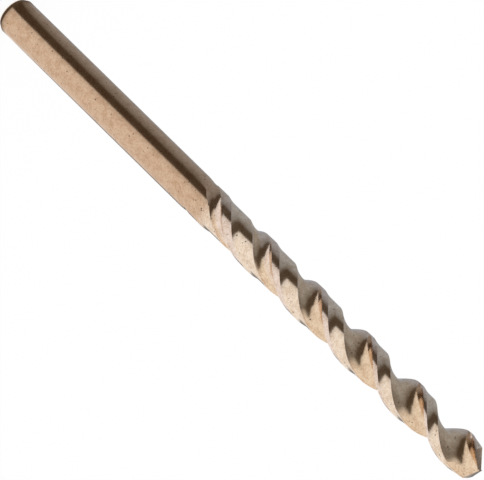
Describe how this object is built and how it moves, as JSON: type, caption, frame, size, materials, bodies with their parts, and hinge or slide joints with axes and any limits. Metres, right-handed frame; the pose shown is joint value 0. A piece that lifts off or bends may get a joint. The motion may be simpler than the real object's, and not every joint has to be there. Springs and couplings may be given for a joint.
{
  "type": "twist drill bit",
  "caption": "Right-hand twist drill bit with a plain round shank, spiral flutes that grow shallower towards the shank, and a ground conical point.",
  "frame": {"origin": "centre of the shank's flat back end", "axes": "+Z along the drill's axis, from the shank towards the point; +X through the outer corner of one lip"},
  "size_m": [0.005, 0.0048, 0.086],
  "materials": {
    "drill_steel": "satin bronze oxide on high speed steel"
  },
  "bodies": {
    "root": {"twist_drill": "drill_steel"}
  },
  "joints": []
}
